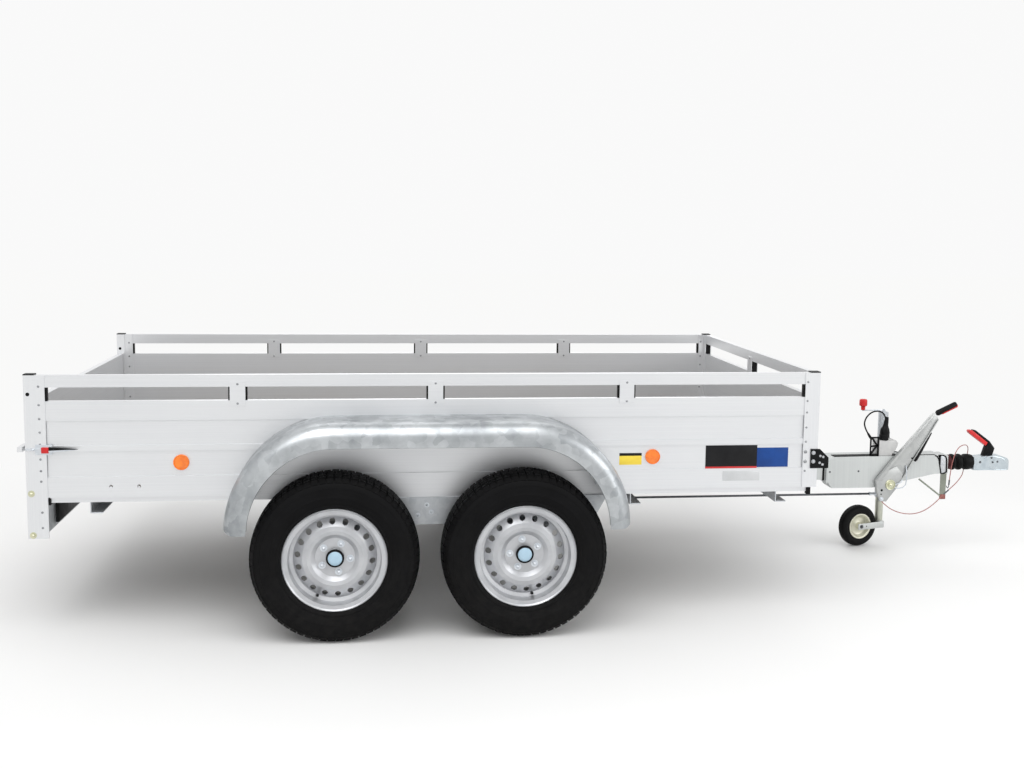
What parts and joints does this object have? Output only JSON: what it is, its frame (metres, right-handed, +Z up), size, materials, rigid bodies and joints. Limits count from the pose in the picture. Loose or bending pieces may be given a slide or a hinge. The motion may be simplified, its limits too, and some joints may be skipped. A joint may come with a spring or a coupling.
{
  "type": "tandem axle utility trailer",
  "caption": "Braked flatbed box trailer with two close axles, aluminium drop sides with load rails, hinged tailgate, mudguards, ball coupling and swivelling jockey wheel",
  "frame": {"origin": "centre of the whole trailer's footprint box, on the ground plane the tyres and jockey wheel stand on", "axes": "+X forward along the drawbar to the coupling, +Y to the trailer's left side, +Z up"},
  "size_m": [4.37, 2.021, 0.988],
  "materials": {
    "anodised_aluminium": "satin",
    "film_faced_plywood": "matte",
    "galvanised_steel": "matte",
    "zinc_yellow_steel": "satin",
    "black_plastic": "matte",
    "red_lens": "gloss",
    "amber_lens": "gloss",
    "red_plastic": "satin",
    "black_rubber": "matte",
    "red_sheath": "satin",
    "tyre_rubber": "matte",
    "silver_paint": "satin"
  },
  "bodies": {
    "chassis": {"axle_carriers": "galvanised_steel", "axle_front": "galvanised_steel", "axle_rear": "galvanised_steel", "black_plugs": "black_plastic", "brake_lever": "galvanised_steel", "brake_rod": "galvanised_steel", "breakaway_cable": "red_sheath", "corner_gussets": "black_plastic", "coupling_handle": "red_plastic", "coupling_head": "galvanised_steel", "drawbar_beam": "galvanised_steel", "drawbar_flange": "galvanised_steel", "drawbar_tube": "galvanised_steel", "floor_panel": "film_faced_plywood", "frame_members": "galvanised_steel", "front_posts": "anodised_aluminium", "front_wall": "anodised_aluminium", "gaiter": "black_rubber", "gas_spring": "black_plastic", "hanging_stay": "galvanised_steel", "hinge_knuckles": "anodised_aluminium", "jockey_clamp": "galvanised_steel", "lever_grip": "black_plastic", "lever_pivot": "zinc_yellow_steel", "mudguard_left": "galvanised_steel", "mudguard_right": "galvanised_steel", "mudguard_stays": "galvanised_steel", "overrun_housing": "galvanised_steel", "plug": "black_plastic", "plug_cable": "black_rubber", "plug_holder": "anodised_aluminium", "rail_brackets": "anodised_aluminium", "rear_panel": "galvanised_steel", "rear_posts": "anodised_aluminium", "side_latches": "zinc_yellow_steel", "side_reflectors": "amber_lens", "side_wall_left": "anodised_aluminium", "side_wall_right": "anodised_aluminium", "tail_lamps": "red_lens", "top_rails": "anodised_aluminium", "trailing_arms": "galvanised_steel"},
    "tailgate_body": {"tailgate": "anodised_aluminium", "tailgate_leaves": "anodised_aluminium", "tailgate_catches": "anodised_aluminium"},
    "wheel_rear_right": {"tyre_rear_right": "tyre_rubber", "rim_rear_right": "silver_paint"},
    "wheel_rear_left": {"tyre_rear_left": "tyre_rubber", "rim_rear_left": "silver_paint"},
    "wheel_front_right": {"tyre_front_right": "tyre_rubber", "rim_front_right": "silver_paint"},
    "wheel_front_left": {"tyre_front_left": "tyre_rubber", "rim_front_left": "silver_paint"},
    "jockey_tube": {"jockey_column": "galvanised_steel", "jockey_crank": "galvanised_steel"},
    "jockey_fork": {"jockey_leg": "zinc_yellow_steel"},
    "jockey_wheel": {"jockey_tyre": "black_rubber", "jockey_rim": "zinc_yellow_steel"}
  },
  "joints": [
    {"name": "tailgate_hinge", "type": "hinge", "parent": "chassis", "child": "tailgate_body", "pos_m": [-2.1665, 0, 0.528], "axis": [0, -1, 0], "range_deg": [0, 180]},
    {"name": "wheel_rear_right_spin", "type": "hinge", "parent": "chassis", "child": "wheel_rear_right", "pos_m": [-1.0145, -0.91, 0.316], "axis": [0, 1, 0], "continuous": true},
    {"name": "wheel_rear_left_spin", "type": "hinge", "parent": "chassis", "child": "wheel_rear_left", "pos_m": [-1.0145, 0.91, 0.316], "axis": [0, 1, 0], "continuous": true},
    {"name": "wheel_front_right_spin", "type": "hinge", "parent": "chassis", "child": "wheel_front_right", "pos_m": [-0.3025, -0.91, 0.316], "axis": [0, 1, 0], "continuous": true},
    {"name": "wheel_front_left_spin", "type": "hinge", "parent": "chassis", "child": "wheel_front_left", "pos_m": [-0.3025, 0.91, 0.316], "axis": [0, 1, 0], "continuous": true},
    {"name": "jockey_slide", "type": "slide", "parent": "chassis", "child": "jockey_tube", "axis": [0, 0, 1], "range_m": [-0.15, 0.06]},
    {"name": "jockey_swivel", "type": "hinge", "parent": "jockey_tube", "child": "jockey_fork", "pos_m": [1.6185, 0.168, 0.3], "axis": [0, 0, 1], "continuous": true},
    {"name": "jockey_spin", "type": "hinge", "parent": "jockey_fork", "child": "jockey_wheel", "pos_m": [1.49624, 0.13752, 0.101], "axis": [-0.2419, 0.9703, 0], "continuous": true}
  ]
}
